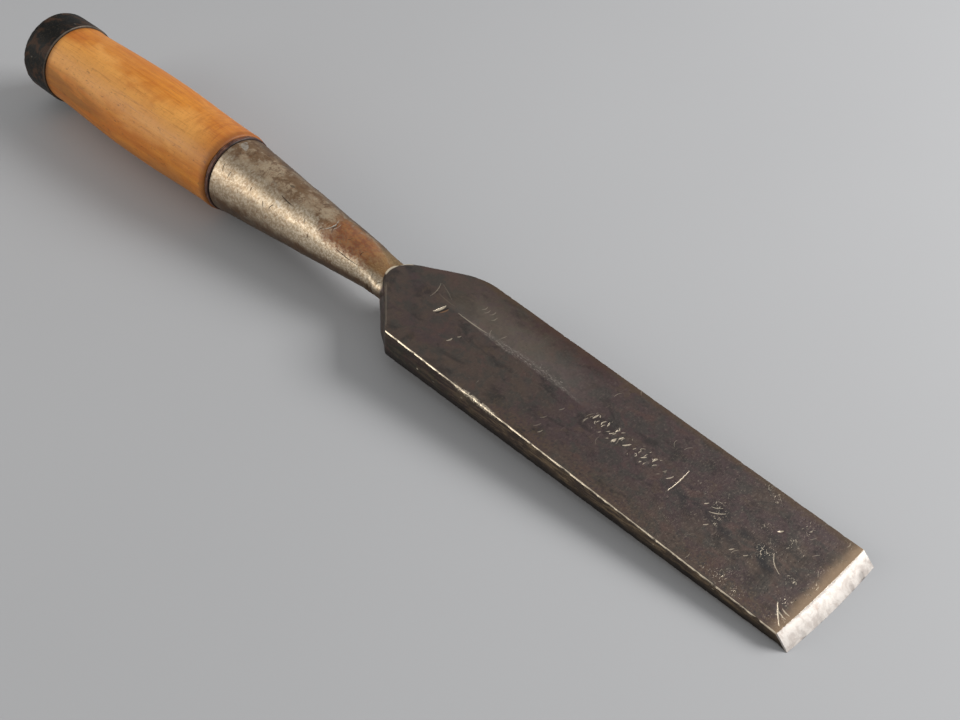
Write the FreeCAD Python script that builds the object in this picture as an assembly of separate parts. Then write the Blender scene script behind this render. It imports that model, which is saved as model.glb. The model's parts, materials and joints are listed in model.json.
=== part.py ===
import FreeCAD, Part
import math
import os

# Two-inch socket chisel for framing work, lying bevel up on a flat surface.
#
# Tool axes: x runs from the middle of the cutting edge towards the butt, y across the blade,
# z up from the blade's flat back.  The socket and handle have an axis of their own, which droops
# a little towards the back; stations on it are counted from the socket's mouth, butt end positive.
# Everything is laid down at the end: the cutting edge and the handle's belly touch z = 0, and the
# origin goes under the middle of the whole tool.  Millimetres.

# blade
edge_width = 50.8
heel_width = 51.1
edge_camber = 0.9
bevel_length = 5.3
bevel_thickness = 5.0
heel_station = 191.3
heel_thickness = 12.8
shoulder_start_left = 193.0
shoulder_start_right = 189.2
blade_end = 218.6
blade_end_left = 2.2
blade_end_right = 6.7
shoulder_round_left = 3.0
shoulder_round_right = 30.0
blade_end_round = 4.0

# socket
mouth_station = 315.1
mouth_height = 8.35
axis_droop = math.radians(0.57)
socket_length = 88.6
mouth_radius = 17.3
neck_radius = 9.25
neck_length = 18.0
ramp_foot = (214.0, 11.5)
ramp_top = (226.5, 18.7)
bore_depth = 76.0
bore_mouth_radius = 14.4
bore_end_radius = 7.6
bore_point = 3.0
lip_chamfer = 0.6

# leather washer
washer_gap = 0.02
washer_thickness = 2.5
washer_radius = 18.0
washer_round = 0.9

# handle
tenon_clearance = 0.04
tenon_length = 72.0
shoulder_radius = 17.7
grip_start = (3.9, 18.5)
barrel = [(8.0, 18.75), (35.0, 19.4), (70.0, 20.35), (102.0, 19.5)]
hoop_seat_radius = 17.7
butt_round = 3.0
butt_stand = 2.0
butt_dome = 1.2

# hoop
hoop_station = 125.2
hoop_length = 17.6
hoop_radius = 19.9
hoop_round = 1.3
hoop_chamfer = 0.5
wood_at_hoop = 18.9

ALONG = FreeCAD.Vector(1, 0, 0)
ACROSS = FreeCAD.Vector(0, 1, 0)
UP = FreeCAD.Vector(0, 0, 1)
ORIGIN = FreeCAD.Vector(0, 0, 0)


def flat(x, y):
    return FreeCAD.Vector(x, y, 0)


def rounded_outline(corners):
    """Closed wire in the xy plane through corners (x, y, radius), each rounded by a tangent arc."""
    starts, ends, arcs = [], [], []
    for i, (x, y, radius) in enumerate(corners):
        here = flat(x, y)
        before = flat(*corners[i - 1][:2])
        after = flat(*corners[(i + 1) % len(corners)][:2])
        back = (before - here).normalize()
        ahead = (after - here).normalize()
        half = back.getAngle(ahead) / 2
        reach = radius / math.tan(half)
        start, end = here + back * reach, here + ahead * reach
        starts.append(start)
        ends.append(end)
        inward = (back + ahead).normalize()
        middle = here + inward * (radius / math.sin(half) - radius)
        arcs.append(Part.Arc(start, middle, end).toShape() if radius else None)
    edges = []
    for i, arc in enumerate(arcs):
        if arc:
            edges.append(arc)
        edges.append(Part.makeLine(ends[i], starts[(i + 1) % len(corners)]))
    return Part.Wire(edges)


def turned(edges):
    """Solid turned about the x axis from a half profile, closed along the axis or on itself."""
    return Part.Face(Part.Wire(edges)).revolve(ORIGIN, ALONG, 360)


def lines(points):
    return [Part.makeLine(flat(*a), flat(*b)) for a, b in zip(points, points[1:])]


def quarter(start, end, centre):
    """Quarter circle from start to end about centre."""
    outward = ((flat(*start) + flat(*end)) / 2 - flat(*centre)).normalize()
    middle = flat(*centre) + outward * math.dist(start, centre)
    return Part.Arc(flat(*start), middle, flat(*end)).toShape()


def on_axis(shape):
    """Takes a shape turned about x, with the mouth at x = 0, to the socket's place in tool axes."""
    placed = shape.copy()
    placed.rotate(ORIGIN, ACROSS, math.degrees(axis_droop))
    placed.translate(FreeCAD.Vector(mouth_station, 0, mouth_height))
    return placed


def blade_slab():
    """Flat back, tapered thickness, cambered cutting edge and two sloping shoulders."""
    half_edge, half_heel = edge_width / 2, heel_width / 2
    outline = rounded_outline([
        (-edge_camber, half_edge, 0),
        (-edge_camber, -half_edge, 0),
        (shoulder_start_right, -half_heel, shoulder_round_right),
        (blade_end, -blade_end_right, blade_end_round),
        (blade_end, blade_end_left, blade_end_round),
        (shoulder_start_left, half_heel, shoulder_round_left),
    ])
    rise = (heel_thickness - bevel_thickness) / (heel_station - bevel_length)
    front_height = bevel_thickness - rise * (bevel_length + edge_camber)
    end_height = heel_thickness + rise * (blade_end - heel_station)
    side = Part.makePolygon([
        FreeCAD.Vector(-edge_camber, -heel_width, 0),
        FreeCAD.Vector(blade_end, -heel_width, 0),
        FreeCAD.Vector(blade_end, -heel_width, end_height),
        FreeCAD.Vector(-edge_camber, -heel_width, front_height),
        FreeCAD.Vector(-edge_camber, -heel_width, 0),
    ])
    thickness = Part.Face(side).extrude(ACROSS * 2 * heel_width)
    slab = Part.Face(outline).extrude(UP * 2 * heel_thickness).common(thickness)
    return slab.common(bevel_cone())


def bevel_cone():
    """Wide cone whose rim is the cambered cutting edge and whose flank is the bevel."""
    rim = ((edge_width / 2) ** 2 + edge_camber ** 2) / (2 * edge_camber)
    height = 2 * heel_thickness
    top = rim - height * bevel_length / bevel_thickness
    return Part.makeCone(rim, top, height, FreeCAD.Vector(rim - edge_camber, 0, 0))


def socket_body():
    """Solid cone on a round neck, which slopes down under the blade's top face."""
    neck = -socket_length
    taper = (mouth_radius - neck_radius) / socket_length
    profile = lines([
        (neck - neck_length, 0),
        (neck - neck_length, neck_radius),
        (neck, neck_radius),
        (-lip_chamfer, mouth_radius - lip_chamfer * taper),
        (0, mouth_radius - lip_chamfer),
        (0, 0),
        (neck - neck_length, 0),
    ])
    return on_axis(turned(profile)).cut(above_ramp())


def above_ramp():
    """Everything above the slope that leads from under the blade's top face up to the neck."""
    slope = (ramp_top[1] - ramp_foot[1]) / (ramp_top[0] - ramp_foot[0])
    front = ramp_foot[0] - neck_length
    ceiling = 2 * ramp_top[1]
    side = Part.makePolygon([
        FreeCAD.Vector(front, -heel_width, ramp_foot[1] - slope * neck_length),
        FreeCAD.Vector(ramp_top[0], -heel_width, ramp_top[1]),
        FreeCAD.Vector(ramp_top[0], -heel_width, ceiling),
        FreeCAD.Vector(front, -heel_width, ceiling),
        FreeCAD.Vector(front, -heel_width, ramp_foot[1] - slope * neck_length),
    ])
    return Part.Face(side).extrude(ACROSS * 2 * heel_width)


def socket_bore():
    """Tapered hole for the tenon, with a pointed end."""
    past_mouth = 1.0
    taper = (bore_mouth_radius - bore_end_radius) / bore_depth
    profile = lines([
        (past_mouth, 0),
        (past_mouth, bore_mouth_radius + taper * past_mouth),
        (-bore_depth, bore_end_radius),
        (-bore_depth - bore_point, 0),
        (past_mouth, 0),
    ])
    return on_axis(turned(profile))


def blade():
    """One forging: the blade, its neck and the hollow socket."""
    return blade_slab().fuse(socket_body()).cut(socket_bore()).removeSplitter()


def tenon_radius(station):
    taper = (bore_mouth_radius - bore_end_radius) / bore_depth
    return bore_mouth_radius - tenon_clearance + taper * min(station, 0)


def grip_curve():
    """Bellied outline of the grip, from the shoulder's edge to the hoop, as (station, radius)."""
    points = [grip_start] + barrel + [(hoop_station, wood_at_hoop)]
    curve = Part.BSplineCurve()
    curve.interpolate([flat(*point) for point in points])
    return curve


def handle():
    """Turned hardwood: tapered tenon, bellied grip, seat for the hoop and a domed butt."""
    shoulder = washer_gap + washer_thickness
    butt = hoop_station + hoop_length + butt_stand
    edge_centre = (butt - butt_round, hoop_seat_radius - butt_round)
    crown_radius = (edge_centre[1] ** 2 + butt_dome ** 2) / (2 * butt_dome)
    crown_circle = Part.Circle(flat(butt + butt_dome - crown_radius, 0), UP, crown_radius)
    crown = Part.ArcOfCircle(crown_circle, 0, math.asin(edge_centre[1] / crown_radius))
    profile = lines([
        (butt + butt_dome, 0),
        (-tenon_length, 0),
        (-tenon_length, tenon_radius(-tenon_length)),
        (0, tenon_radius(0)),
        (shoulder, tenon_radius(0)),
        (shoulder, shoulder_radius),
        grip_start,
    ])
    profile.append(grip_curve().toShape())
    profile += lines([
        (hoop_station, wood_at_hoop),
        (hoop_station, hoop_seat_radius),
        (edge_centre[0], hoop_seat_radius),
    ])
    profile.append(quarter((edge_centre[0], hoop_seat_radius), (butt, edge_centre[1]), edge_centre))
    profile.append(crown.toShape())
    return on_axis(turned(profile))


def ring(start, length, inner, outer, round_start, round_end):
    """Turned ring whose two outer edges are rounded."""
    end = start + length
    profile = lines([
        (end, outer - round_end),
        (end, inner),
        (start, inner),
        (start, outer - round_start),
    ])
    profile.append(quarter((start, outer - round_start), (start + round_start, outer),
                           (start + round_start, outer - round_start)))
    profile += lines([(start + round_start, outer), (end - round_end, outer)])
    profile.append(quarter((end - round_end, outer), (end, outer - round_end),
                           (end - round_end, outer - round_end)))
    return on_axis(turned(profile))


def socket_washer():
    """Leather washer between the socket's mouth and the handle's shoulder."""
    return ring(washer_gap, washer_thickness, tenon_radius(0), washer_radius, washer_round, washer_round)


def hoop():
    """Iron hoop driven over the butt end, crisp towards the grip and rounded towards the butt."""
    return ring(hoop_station, hoop_length, hoop_seat_radius, hoop_radius, hoop_chamfer, hoop_round)


def rest_tilt():
    """Angle of the flat back when the cutting edge and the handle's belly touch the surface."""
    def angle_under(point):
        across = point.x * math.sin(axis_droop) + point.y * math.cos(axis_droop)
        along = point.x * math.cos(axis_droop) - point.y * math.sin(axis_droop)
        return math.atan2(across - mouth_height, mouth_station + along)

    return max(angle_under(point) for point in grip_curve().discretize(400))


def laid_down(shapes):
    """The same shapes resting on z = 0, with the origin under the middle of the whole tool."""
    tilt = math.degrees(rest_tilt())
    for shape in shapes.values():
        shape.rotate(ORIGIN, ACROSS, -tilt)
    box = Part.makeCompound(list(shapes.values())).optimalBoundingBox(False)
    shift = FreeCAD.Vector(-(box.XMin + box.XMax) / 2, -(box.YMin + box.YMax) / 2, -box.ZMin)
    for shape in shapes.values():
        shape.translate(shift)
    return shapes, shift, tilt


nodes = {
    "blade": blade(),
    "socket_washer": socket_washer(),
    "handle": handle(),
    "hoop": hoop(),
}
nodes, shift, tilt = laid_down(nodes)
for name, shape in nodes.items():
    if shape.ShapeType != "Solid":
        shape = shape.Solids[0]
    print(name, "volume", round(shape.Volume, 1), "valid", shape.isValid())
    shape.exportStep(os.path.join("parts", name + ".step"))
print("rest tilt", round(tilt, 4), "degrees; shift", shift)
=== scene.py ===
import json
import math

import bpy
import bmesh
import numpy as np
from mathutils import Matrix, Vector, noise


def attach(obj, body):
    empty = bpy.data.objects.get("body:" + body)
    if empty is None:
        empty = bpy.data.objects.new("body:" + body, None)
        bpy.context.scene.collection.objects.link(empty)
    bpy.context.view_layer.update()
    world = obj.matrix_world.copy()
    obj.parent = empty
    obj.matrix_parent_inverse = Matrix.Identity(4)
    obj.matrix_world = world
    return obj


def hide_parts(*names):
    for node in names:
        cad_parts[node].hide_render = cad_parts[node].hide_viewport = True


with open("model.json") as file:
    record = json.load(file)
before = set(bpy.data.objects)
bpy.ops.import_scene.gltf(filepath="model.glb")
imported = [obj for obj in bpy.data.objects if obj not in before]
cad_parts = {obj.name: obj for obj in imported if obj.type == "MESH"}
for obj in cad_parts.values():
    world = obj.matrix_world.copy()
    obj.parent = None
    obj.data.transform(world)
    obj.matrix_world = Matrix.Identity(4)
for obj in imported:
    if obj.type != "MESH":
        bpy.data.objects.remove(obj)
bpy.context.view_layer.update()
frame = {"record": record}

# A worn two-inch socket chisel.  Shapes are written in millimetres in two frames of its own:
# the blade's (x from the cutting edge, y across, z up from the flat back) and the handle's
# (x from the socket's mouth towards the butt, with angles counted from the top towards +y).
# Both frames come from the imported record's mounts, so every piece lands on its CAD node.

MM = 0.001

# blade, as in the CAD model
EDGE_HALF, HEEL_HALF = 25.4, 25.55
EDGE_CAMBER = 0.9
BEVEL_LENGTH, BEVEL_THICKNESS = 5.3, 5.0
HEEL_STATION, HEEL_THICKNESS = 191.3, 12.8
BLADE_END = 218.6
SHOULDER_LEFT = {"corner": 193.0, "end": 2.2, "round": 3.0}
SHOULDER_RIGHT = {"corner": 189.2, "end": 6.7, "round": 30.0}
NOSE_X, NOSE_Y, NOSE_ROUND = 207.4, -1.4, 10.6

# socket and handle stations, counted from the socket's mouth
NECK, NECK_RADIUS, MOUTH_RADIUS = -88.6, 9.25, 17.3
BORE_DEPTH, BORE_MOUTH, BORE_END, BORE_POINT = 76.0, 14.4, 7.6, 3.0
BORE_SLOPE = 0.0905
TENON_LENGTH, TENON_CLEARANCE = 72.0, 0.04
WASHER_START, WASHER_END, WASHER_RADIUS = 0.02, 2.52, 18.0
HOOP_START, HOOP_END, HOOP_RADIUS, HOOP_BORE = 125.2, 142.8, 19.9, 17.7
HOOP_STRAIGHT = 15.8
BUTT, BUTT_DOME = 144.8, 1.2

# where the mounts lie: on the flat back, from the edge, and halfway along the hoop's straight part
BACK_MOUNT = 100.0
HOOP_MOUNT = HOOP_START + 0.5 + HOOP_STRAIGHT / 2

mounts = {mount["name"]: mount for mount in frame["record"]["mounts"]}


def axes_matrix(x_axis, origin):
    """Matrix from a right-handed frame with that x axis and a level y axis, in mm, to metres."""
    x_axis = Vector(x_axis).normalized()
    y_axis = Vector((0, 1, 0))
    z_axis = x_axis.cross(y_axis)
    matrix = Matrix((x_axis, y_axis, z_axis)).transposed().to_4x4()
    matrix.translation = origin
    return matrix


def blade_frame():
    back = mounts["flat_back"]
    along = Vector((-back["axis"][2], 0, back["axis"][0]))
    return axes_matrix(along, Vector(back["pos_m"]) - along * BACK_MOUNT * MM)


def handle_frame():
    hoop = mounts["hoop_outside"]
    along = Vector(hoop["axis"]).normalized()
    return axes_matrix(along, Vector(hoop["pos_m"]) - along * HOOP_MOUNT * MM)


BLADE_FRAME = blade_frame()
HANDLE_FRAME = handle_frame()
HANDLE_TO_BLADE = BLADE_FRAME.inverted() @ HANDLE_FRAME


def to_frame(points, matrix):
    """Points in mm of a frame, as metres in the row frame."""
    matrix = np.array(matrix)
    return points @ matrix[:3, :3].T * MM + matrix[:3, 3]


# -------- mesh helpers

def smooth(value, low, high):
    t = np.clip((value - low) / (high - low), 0, 1)
    return t * t * (3 - 2 * t)


def bump_noise(points, size, seed, octaves=3):
    """Smooth noise from about -1 to 1 at points in mm, with features of that size in mm."""
    shift = Vector((17.3 * seed, -9.1 * seed, 5.7 * seed))
    return np.array([
        noise.fractal(Vector(p) / size + shift, 1.0, 2.0, octaves) for p in points.reshape(-1, 3)
    ]).reshape(points.shape[:-1])


def add_object(name, data):
    thing = bpy.data.objects.new(name, data)
    bpy.context.scene.collection.objects.link(thing)
    return thing


def loft(name, rings, join_ends=False):
    """Mesh object through closed rings of points, rings[i, j] in metres, capped or joined up."""
    count, around = rings.shape[:2]
    index = np.arange(count * around).reshape(count, around)
    faces = []
    for i in range(count if join_ends else count - 1):
        here, there = index[i], index[(i + 1) % count]
        faces += np.stack([here, np.roll(here, -1), np.roll(there, -1), there], 1).tolist()
    if not join_ends:
        faces += [index[0][::-1].tolist(), index[-1].tolist()]
    mesh = bpy.data.meshes.new(name)
    mesh.from_pydata(rings.reshape(-1, 3).tolist(), [], faces)
    mesh.validate()
    build = bmesh.new()
    build.from_mesh(mesh)
    bmesh.ops.recalc_face_normals(build, faces=build.faces)
    build.to_mesh(mesh)
    build.free()
    return add_object(name, mesh)


def shade(piece, angle=35):
    """Smooth shading that keeps edges sharper than that angle, in degrees."""
    piece.data.shade_smooth()
    build = bmesh.new()
    build.from_mesh(piece.data)
    for edge in build.edges:
        if len(edge.link_faces) == 2 and edge.calc_face_angle(0) > math.radians(angle):
            edge.smooth = False
    build.to_mesh(piece.data)
    build.free()


def turned_rings(stations, radii, around, wobble):
    """Rings about the handle's axis in mm: x along it, angle from the top towards +y."""
    angles = np.linspace(0, 2 * math.pi, around, endpoint=False)
    x, angle = np.meshgrid(stations, angles, indexing="ij")
    r = np.repeat(radii[:, None], around, 1)
    r = r + wobble(np.stack([x, r * np.sin(angle), r * np.cos(angle)], 2), angle, r)
    return np.stack([x, r * np.sin(angle), r * np.cos(angle)], 2)


def in_order(*parts):
    """Joins (station, radius) lists into one outline."""
    outline = np.concatenate([np.asarray(part, float) for part in parts])
    return outline[:, 0], outline[:, 1]


def run(start, end, step):
    """Evenly spaced points of a straight outline from start, without its end."""
    start, end = np.asarray(start, float), np.asarray(end, float)
    count = max(1, round(np.linalg.norm(end - start) / step))
    return start + (end - start) * np.arange(count)[:, None] / count


def bend(centre, radius, first, last, count):
    """Points of a round outline corner, angles in degrees from +x towards +radius."""
    angles = np.radians(np.linspace(first, last, count))
    return np.stack([centre[0] + radius * np.cos(angles), centre[1] + radius * np.sin(angles)], 1)


# -------- marks of use

# Dings and scratches on the blade's top face: ends (x, y), bow, width, depth and brightness.
BLADE_MARKS = [
    ((188.6, 3.8), (187.4, -2.5), 0.35, 1.0, 0.35, 1.0),
    ((173.3, 11.4), (172.7, 8.6), 0.3, 0.45, 0.15, 0.45),
    ((171.9, 6.8), (171.2, 5.2), 0.2, 0.4, 0.12, 0.35),
    ((195.7, -1.2), (198.5, -10.2), 0.8, 0.25, 0.08, 0.2),
    ((198.2, -10.4), (188.2, -6.2), -0.3, 0.22, 0.05, 0.07),
    ((194.6, -5.2), (184.8, -4.6), 0.3, 0.2, 0.05, 0.06),
    ((181.5, -2.9), (165.5, -3.3), 0.2, 0.36, 0.06, 0.34),
    ((67.6, 5.4), (68.2, -8.0), 0.3, 0.24, 0.12, 0.85),
    ((71.6, 1.4), (70.4, -1.6), 0.3, 0.34, 0.12, 0.6),
    ((51.8, 1.8), (47.0, -2.0), 0.4, 0.22, 0.1, 0.7),
    ((52.6, -0.6), (49.4, -2.9), 0.3, 0.2, 0.08, 0.45),
    ((30.2, -9.2), (28.9, -11.0), 0.1, 0.55, 0.25, 0.9),
    ((25.4, -0.8), (18.6, 5.4), 0.9, 0.16, 0.05, 0.42),
    ((49.6, 7.9), (48.4, 6.2), 0.1, 0.24, 0.06, 0.5),
    ((55.2, 0.2), (54.2, -1.4), 0.1, 0.26, 0.06, 0.6),
    ((36.9, 9.8), (35.8, 8.0), 0.1, 0.22, 0.05, 0.5),
    ((31.9, 8.2), (30.9, 6.6), 0.1, 0.22, 0.05, 0.4),
    ((121.8, 13.6), (120.4, 10.8), 0.3, 0.24, 0.05, 0.16),
    ((117.4, 19.6), (116.7, 17.4), 0.2, 0.26, 0.05, 0.3),
    ((120.6, 18.4), (119.4, 15.2), 0.3, 0.24, 0.05, 0.12),
    ((119.6, 5.6), (118.8, 3.2), 0.2, 0.24, 0.05, 0.18),
    ((12.6, 14.6), (6.2, 22.4), 0.2, 0.36, 0.1, 0.7),
    ((10.6, 17.2), (6.4, 18.6), 0.3, 0.26, 0.06, 0.6),
    ((9.9, 15.8), (6.2, 16.6), 0.2, 0.24, 0.06, 0.5),
]

# Middles of faint nested arcs, and stations and number of the crescents pressed in by chance.
NESTED_ARCS = ((176.4, -12.8), (174.4, -12.2), (172.2, -13.0), (169.6, -11.2))
CHAIN_START, CHAIN_END, CHAIN_COUNT = 109.0, 75.5, 34

# Fine specks on the top face: middles (x, y) and reach.  The arris is chipped round CHIPPED.
SPECK_CLUSTERS = (
    (32.5, 21.0, 2.6), (24.2, 21.8, 1.8), (28.0, 1.2, 3.2), (10.5, 13.0, 1.4), (7.5, 0.8, 1.6),
)
CHIPPED = 144


def drawn_marks():
    """The dings and scratches above, and a row of faint nested arcs near the right edge."""
    arcs = [((x + 0.2, y + 1.5), (x - 0.3, y - 1.5), 0.5, 0.26, 0.05, 0.17) for x, y in NESTED_ARCS]
    return BLADE_MARKS + arcs


def pressed_chain():
    """Seeded chain of small crescents pressed in along the middle of the top face."""
    random = np.random.default_rng(5)
    chain = []
    for place in np.linspace(CHAIN_START, CHAIN_END, CHAIN_COUNT):
        x, y = place + random.normal(0, 0.7), random.normal(-0.6, 2.2)
        half, tilt = random.uniform(0.6, 2.2), random.normal(0.12, 0.35)
        step = (math.sin(tilt) * half, math.cos(tilt) * half)
        bow = random.choice((-1, 1)) * half * 0.32
        chain.append(((x + step[0], y + step[1]), (x - step[0], y - step[1]), bow, 0.4, 0.14, 0.0))
    return chain


def mark_place(x, y, start, end):
    """Place along a mark, from -1 to 1 between its ends, and distance to its side in mm."""
    dx, dy = end[0] - start[0], end[1] - start[1]
    length = math.hypot(dx, dy)
    dx, dy = dx / length, dy / length
    away_x, away_y = x - (start[0] + end[0]) / 2, y - (start[1] + end[1]) / 2
    return (away_x * dx + away_y * dy) / (length / 2), away_x * dy - away_y * dx


def mark_depth(x, y, start, end, bow, width, deep):
    """Dent of a bowed mark that narrows to nothing at its ends."""
    share, side = mark_place(x, y, start, end)
    narrow = np.clip(1 - share ** 2, 0, 1)
    return deep * narrow * np.exp(-((side - bow * narrow) / (width / 2 + 0.3)) ** 2)


# -------- blade

def blade_height(x):
    """Height of the top face over the flat back."""
    rise = (HEEL_THICKNESS - BEVEL_THICKNESS) / (HEEL_STATION - BEVEL_LENGTH)
    return BEVEL_THICKNESS + rise * (x - BEVEL_LENGTH)


def nose_y(x, way):
    """Where the blade's round rear end lies: its left side with way 1, its right with way -1."""
    reach = math.sqrt(max(NOSE_ROUND ** 2 - (x - NOSE_X) ** 2, 0))
    return way * NOSE_Y + reach


def half_width(x, side, way):
    """Half width of the blade on one side, with its rounded shoulder and rear end."""
    slope = (HEEL_HALF - side["end"]) / (BLADE_END - side["corner"])
    turn = math.atan(slope)
    start = side["corner"] - side["round"] * math.tan(turn / 2)
    finish = side["corner"] + side["round"] * math.tan(turn / 2) * math.cos(turn)
    if x < start:
        return min(EDGE_HALF + (HEEL_HALF - EDGE_HALF) * x / HEEL_STATION, HEEL_HALF)
    if x < finish:
        return HEEL_HALF - side["round"] + math.sqrt(side["round"] ** 2 - (x - start) ** 2)
    line = HEEL_HALF - slope * (x - side["corner"])
    touching = NOSE_X + NOSE_ROUND * math.sin(turn)
    return line if x < touching else min(line, nose_y(x, way))


def blade_stations():
    bevel = BEVEL_LENGTH * np.linspace(0, 1, 15) ** 0.9
    body = np.arange(BEVEL_LENGTH + 0.25, 188.0, 0.5)
    shoulders = np.arange(188.0, 212.6, 0.4)
    nose = NOSE_X + NOSE_ROUND * np.sin(np.radians(np.linspace(30, 88, 24)))
    return np.concatenate([bevel, body, shoulders, nose[nose > shoulders[-1] + 0.1]])


def worn_edge(x, places, sizes):
    """Width of the worn top edge, wider at its nicks."""
    even = 0.3 + 0.08 * noise.noise(Vector((x / 3.0, 0, 4.2)))
    return even + float(np.sum(sizes * np.exp(-((x - places) / 0.8) ** 2)))


# points across the top, down a side, round its foot and under the flat back
ACROSS, DOWN, FOOT, UNDER = 104, 14, 5, 36
EDGE_LAND, BEVEL_BULGE, CROWN = 0.07, 0.15, 0.12
EDGE_NICKS = [(-18.5, 0.35, 1.2), (-12.0, 0.2, 0.8), (7.0, 0.15, 0.7), (16.5, 0.2, 0.9)]


def top_heights(x, y, top):
    """Top of one section: crowned a little, and rolled over at the round rear end."""
    z = np.full(len(y), top)
    if x >= BEVEL_LENGTH:
        z = z + CROWN * (1 - (y / HEEL_HALF) ** 2)
    if x > NOSE_X + 5:
        rim = np.clip(NOSE_ROUND - np.hypot(x - NOSE_X, y - NOSE_Y), 0, 9)
        z = z - 0.45 * np.exp(-(rim / 0.45) ** 2)
    return z


def side_profile(x, top, chamfer):
    """Down a side of one section: heights, tuck of the rounded foot, hollow and shoulder flare."""
    foot = min(1.1, top * 0.3)
    turn = np.radians(np.linspace(15, 78, FOOT))
    z = np.concatenate([np.linspace(top - chamfer, foot, DOWN - FOOT), foot * (1 - np.sin(turn))])
    tuck = np.concatenate([np.zeros(DOWN - FOOT), foot * (1 - np.cos(turn))])
    fall = np.clip((top - z) / 9, 0, 1)
    hollow = 0.12 * np.sin(np.pi * fall) * min(top / 10, 1) * (x < 190)
    return z, tuck, hollow, 1.3 * smooth(x, 192, 205) * fall ** 0.7


def nicked_edge(x, y):
    """Stations of one section's points, with the edge's camber and its small nicks."""
    place = x - EDGE_CAMBER * (1 - np.clip(y / EDGE_HALF, -1, 1) ** 2) * (1 - smooth(x, 0, 16))
    if x < 2.0:
        for middle, depth, width in EDGE_NICKS:
            place = place + depth * np.exp(-((y - middle) / width) ** 2) * (1 - x / 2.0)
    return place


def blade_section(x, nick_places, nick_sizes):
    """Ring of points: across the top, down the left side, back under, up the right side."""
    left, right = half_width(x, SHOULDER_LEFT, 1), half_width(x, SHOULDER_RIGHT, -1)
    top, share = blade_height(x), x / BEVEL_LENGTH
    if share < 1:
        top = EDGE_LAND + (BEVEL_THICKNESS - EDGE_LAND) * share + BEVEL_BULGE * 4 * share * (1 - share)
    chamfer = min(worn_edge(x, nick_places, nick_sizes), top * 0.3, (left + right) * 0.2)
    inset = 0.6 * smooth(x, 193.5, 199) * (1 - smooth(x, 211, 216))
    y_top = np.linspace(-right + chamfer, left - chamfer - inset, ACROSS)
    z_side, tuck, hollow, flare = side_profile(x, top, chamfer)
    y_left = left - hollow - inset + 2.3 * flare - tuck
    y_right = -right + hollow - flare + tuck
    y_under = np.linspace(y_left[-1] - 0.2, y_right[-1] + 0.2, UNDER)
    y = np.concatenate([y_top, y_left, y_under, y_right[::-1]])
    z = np.concatenate([top_heights(x, y_top, top), z_side, np.zeros(UNDER), z_side[::-1]])
    return np.stack([nicked_edge(x, y), y, z], 1)


def blade_slab():
    """Blade up to its rounded end on the neck: one ring of points per station."""
    random = np.random.default_rng(11)
    chipped = CHIPPED - 9, CHIPPED + 9
    nick_places = np.concatenate([random.uniform(8, 186, 16), random.uniform(*chipped, 9)])
    nick_sizes = random.uniform(0.04, 0.2, 25)
    rings = np.array([blade_section(x, nick_places, nick_sizes) for x in blade_stations()])
    press_marks(rings)
    roughen_slab(rings)
    return loft("blade_slab", to_frame(rings, BLADE_FRAME))


def roughen_slab(rings):
    """Forged and filed unevenness of the top face and the sides."""
    rough = bump_noise(rings, 7.0, 3) * 0.06 + bump_noise(rings, 1.6, 5, 2) * 0.025
    x, z = rings[:, :, 0], rings[:, :, 2]
    on_top = np.arange(rings.shape[1])[None, :] < ACROSS
    away_from_bevel = smooth(x, BEVEL_LENGTH - 0.6, BEVEL_LENGTH + 3)
    bevel_rough = bump_noise(rings, 2.6, 7, 3) * 0.022 * (1 - away_from_bevel) * smooth(x, 0.3, 1.5)
    rings[:, :, 2] += np.where(on_top, rough * away_from_bevel + bevel_rough, 0)
    on_side = (z > 0.3) & ~on_top & (x > 2)
    side_rough = np.abs(bump_noise(rings, 5.0, 4)) * 0.22 + np.abs(rough) * 1.5
    rings[:, :, 1] -= np.where(on_side, side_rough * np.sign(rings[:, :, 1]), 0)


def press_marks(rings):
    """Presses the marks of use into the top face."""
    x, y = rings[:, :ACROSS, 0], rings[:, :ACROSS, 1]
    depth = np.zeros_like(x)
    for start, end, bow, width, deep, _ in drawn_marks() + pressed_chain():
        depth = np.maximum(depth, mark_depth(x, y, start, end, bow, width, deep))
    rings[:, :ACROSS, 2] -= np.where(x > BEVEL_LENGTH, depth, 0)


def neck_squeeze(x):
    """How much of its height above the axis the neck keeps where it comes down to the blade."""
    return 0.46 + 0.54 * smooth(x, 215.0, 231.0)


def socket_wobble(points, angle, r):
    """Hammered unevenness, forging grooves at the neck and a flaked spot on the cone."""
    x = points[..., 0]
    uneven = bump_noise(points, 14.0, 8) * 0.18 + bump_noise(points, 4.0, 9) * 0.09
    below = np.exp(-((angle - np.radians(100)) / 0.55) ** 2)
    grooves = sum(np.exp(-((x - place) / 0.55) ** 2) for place in (-95.6, -93.6))
    flake_distance = np.hypot((x + 64.5) / 4.2, (angle - np.radians(11)) * 12 / 2.4)
    flake = np.exp(-flake_distance ** 4)
    return (x < -0.1) * (uneven - 0.5 * grooves * below - 0.3 * flake)


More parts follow.
